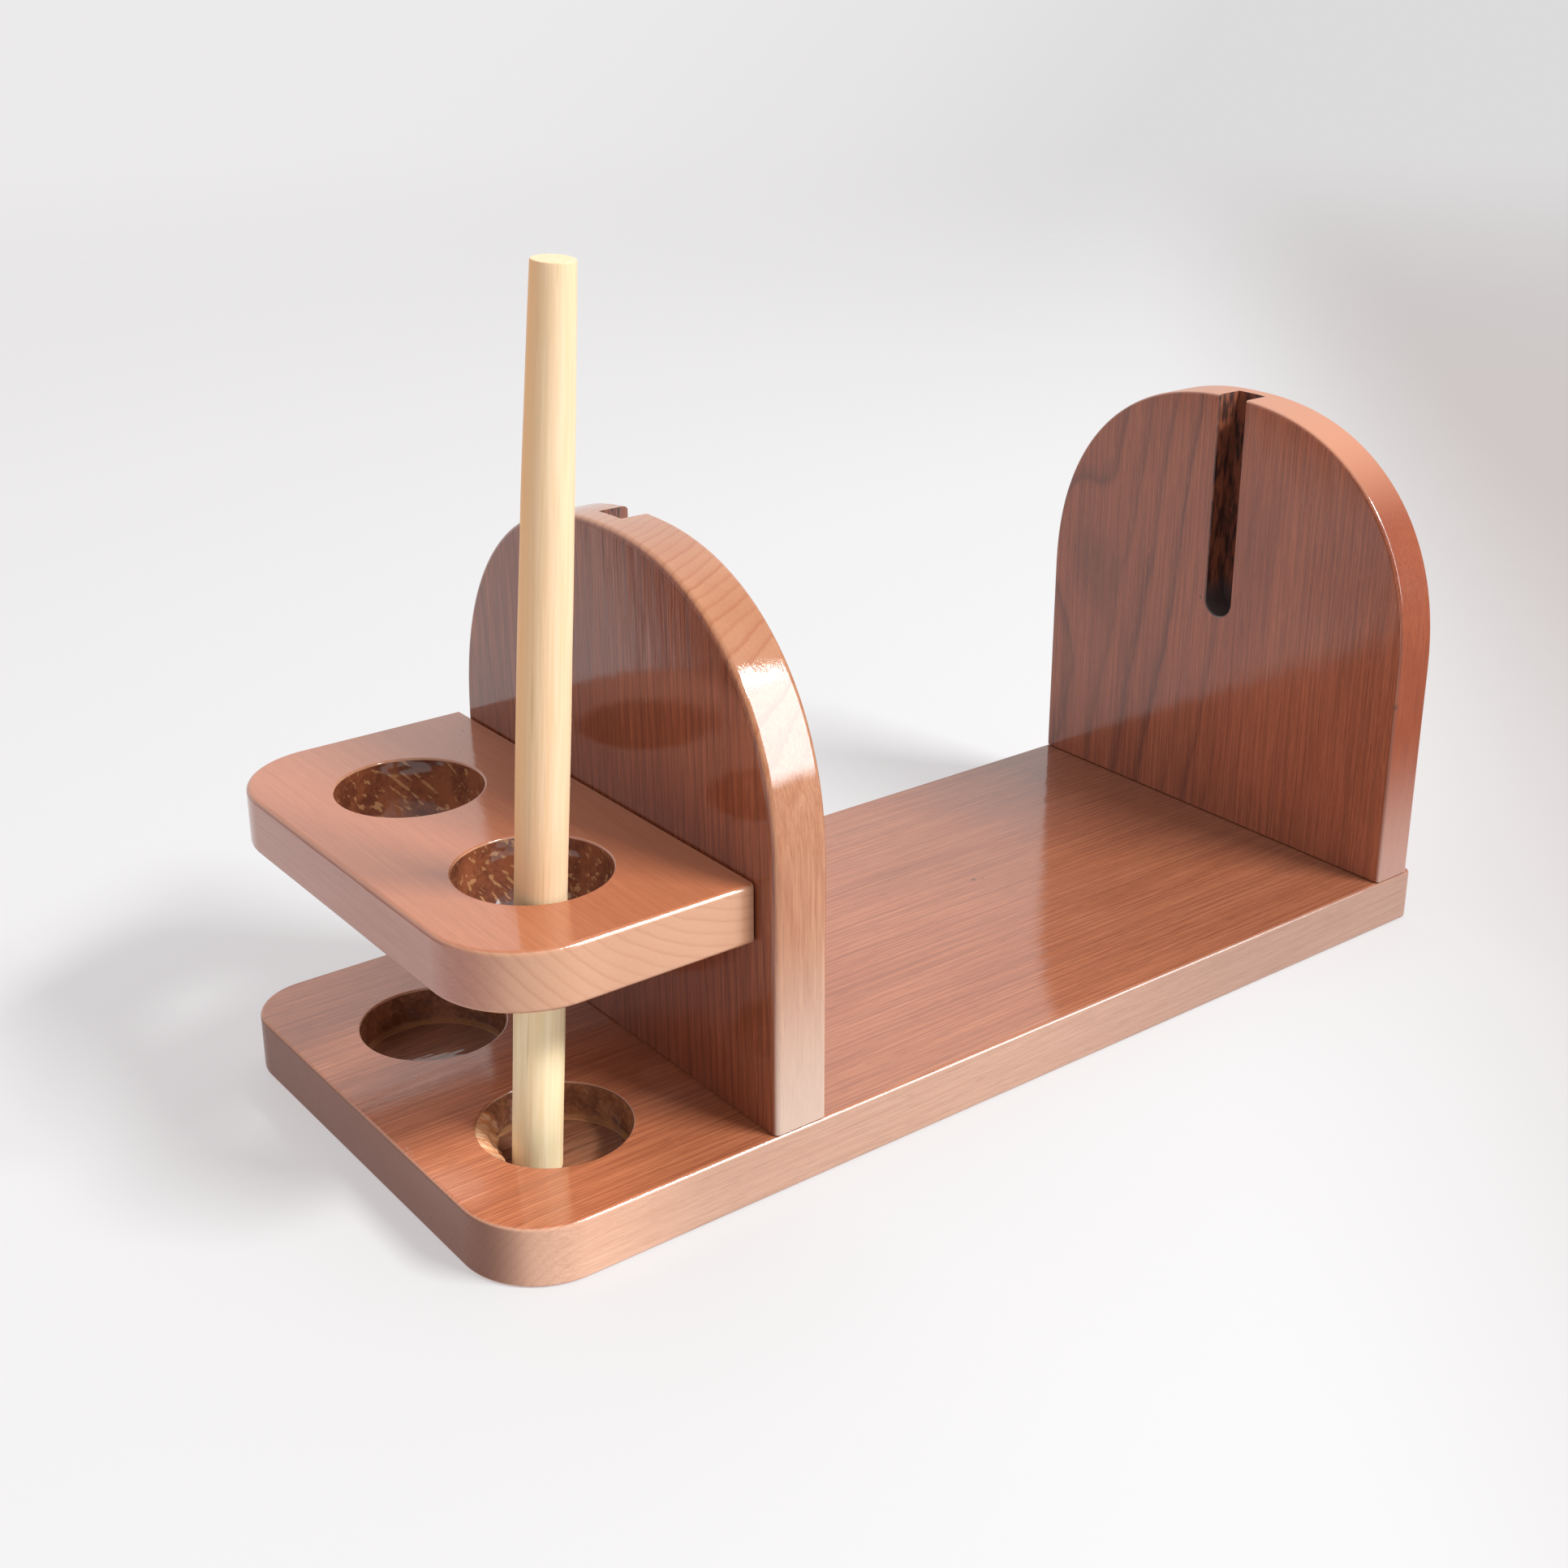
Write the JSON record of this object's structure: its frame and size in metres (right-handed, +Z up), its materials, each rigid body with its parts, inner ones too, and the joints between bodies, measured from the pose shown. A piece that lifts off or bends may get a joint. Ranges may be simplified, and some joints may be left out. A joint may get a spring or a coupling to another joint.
{
  "type": "wooden roll and bottle stand",
  "caption": "Lacquered wooden stand with grooved uprights for a removable axle rod and a shelf of round holes over recesses that hold small bottles or tools.",
  "frame": {"origin": "centre of the base board's underside, on the surface it stands on", "axes": "+X along the base board from the shelf's end to the far upright, +Y across it to the rear, +Z up"},
  "size_m": [0.291, 0.1346, 0.2062],
  "materials": {
    "base_wood": "clear gloss lacquer over reddish-brown hardwood",
    "near_wood": "clear gloss lacquer over dark reddish-brown hardwood",
    "far_wood": "clear gloss lacquer over dark reddish-brown hardwood",
    "shelf_wood": "clear gloss lacquer over reddish-brown hardwood",
    "rod_wood": "bare pale softwood, lightly polished by handling",
    "dowel_wood": "bare",
    "screw_steel": "zinc plated"
  },
  "bodies": {
    "stand": {"base_board": "base_wood", "near_upright": "near_wood", "far_upright": "far_wood", "bottle_shelf": "shelf_wood", "shelf_dowel_front": "dowel_wood", "shelf_dowel_rear": "dowel_wood", "near_screw_front": "screw_steel", "near_screw_rear": "screw_steel", "far_screw_front": "screw_steel", "far_screw_rear": "screw_steel"},
    "rod": {"axle_rod": "rod_wood"}
  },
  "joints": [
    {"name": "rod_lift", "type": "slide", "parent": "stand", "child": "rod", "axis": [0.0324, -0.0578, 0.9978], "range_m": [0, 0.076]}
  ]
}
